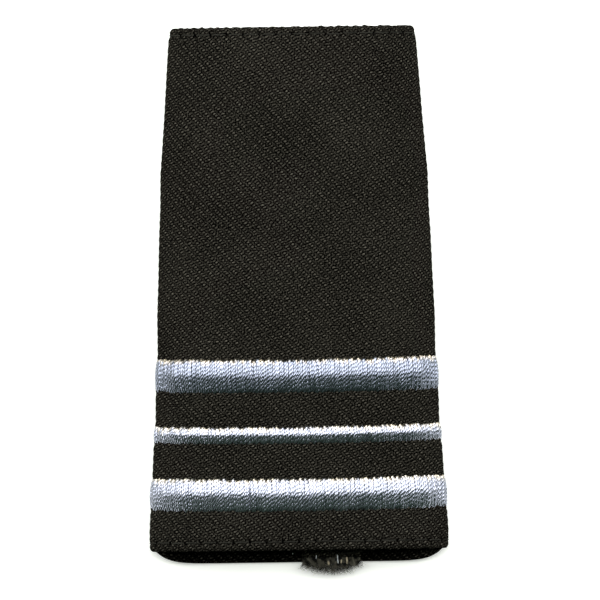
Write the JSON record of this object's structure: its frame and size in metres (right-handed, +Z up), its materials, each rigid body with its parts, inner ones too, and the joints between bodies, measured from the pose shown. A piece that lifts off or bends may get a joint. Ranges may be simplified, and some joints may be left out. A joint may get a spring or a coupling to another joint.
{
  "type": "slip-on shoulder board",
  "caption": "Flattened cloth sleeve, open at both ends and tapered, that slides over a shoulder strap, with raised satin-stitched rank stripes across its front.",
  "frame": {"origin": "middle of the outline, on the surface that the sleeve's back rests on", "axes": "+Z up through the striped front, +Y from the wide end to the narrow end, +X to the right as the front is seen with the narrow end at the top"},
  "size_m": [0.0584, 0.1066, 0.0089],
  "materials": {
    "twill": "matte black-brown twill",
    "stripe_thread": "silver-grey satin stitch",
    "overlocked_edge": "matte overlocked twill",
    "frayed_yarn": "loose dark fibres"
  },
  "bodies": {
    "root": {"sleeve": "twill", "stripe_upper": "stripe_thread", "stripe_middle": "stripe_thread", "stripe_lower": "stripe_thread", "seam_allowance": "overlocked_edge", "frayed_end": "frayed_yarn"}
  },
  "joints": []
}
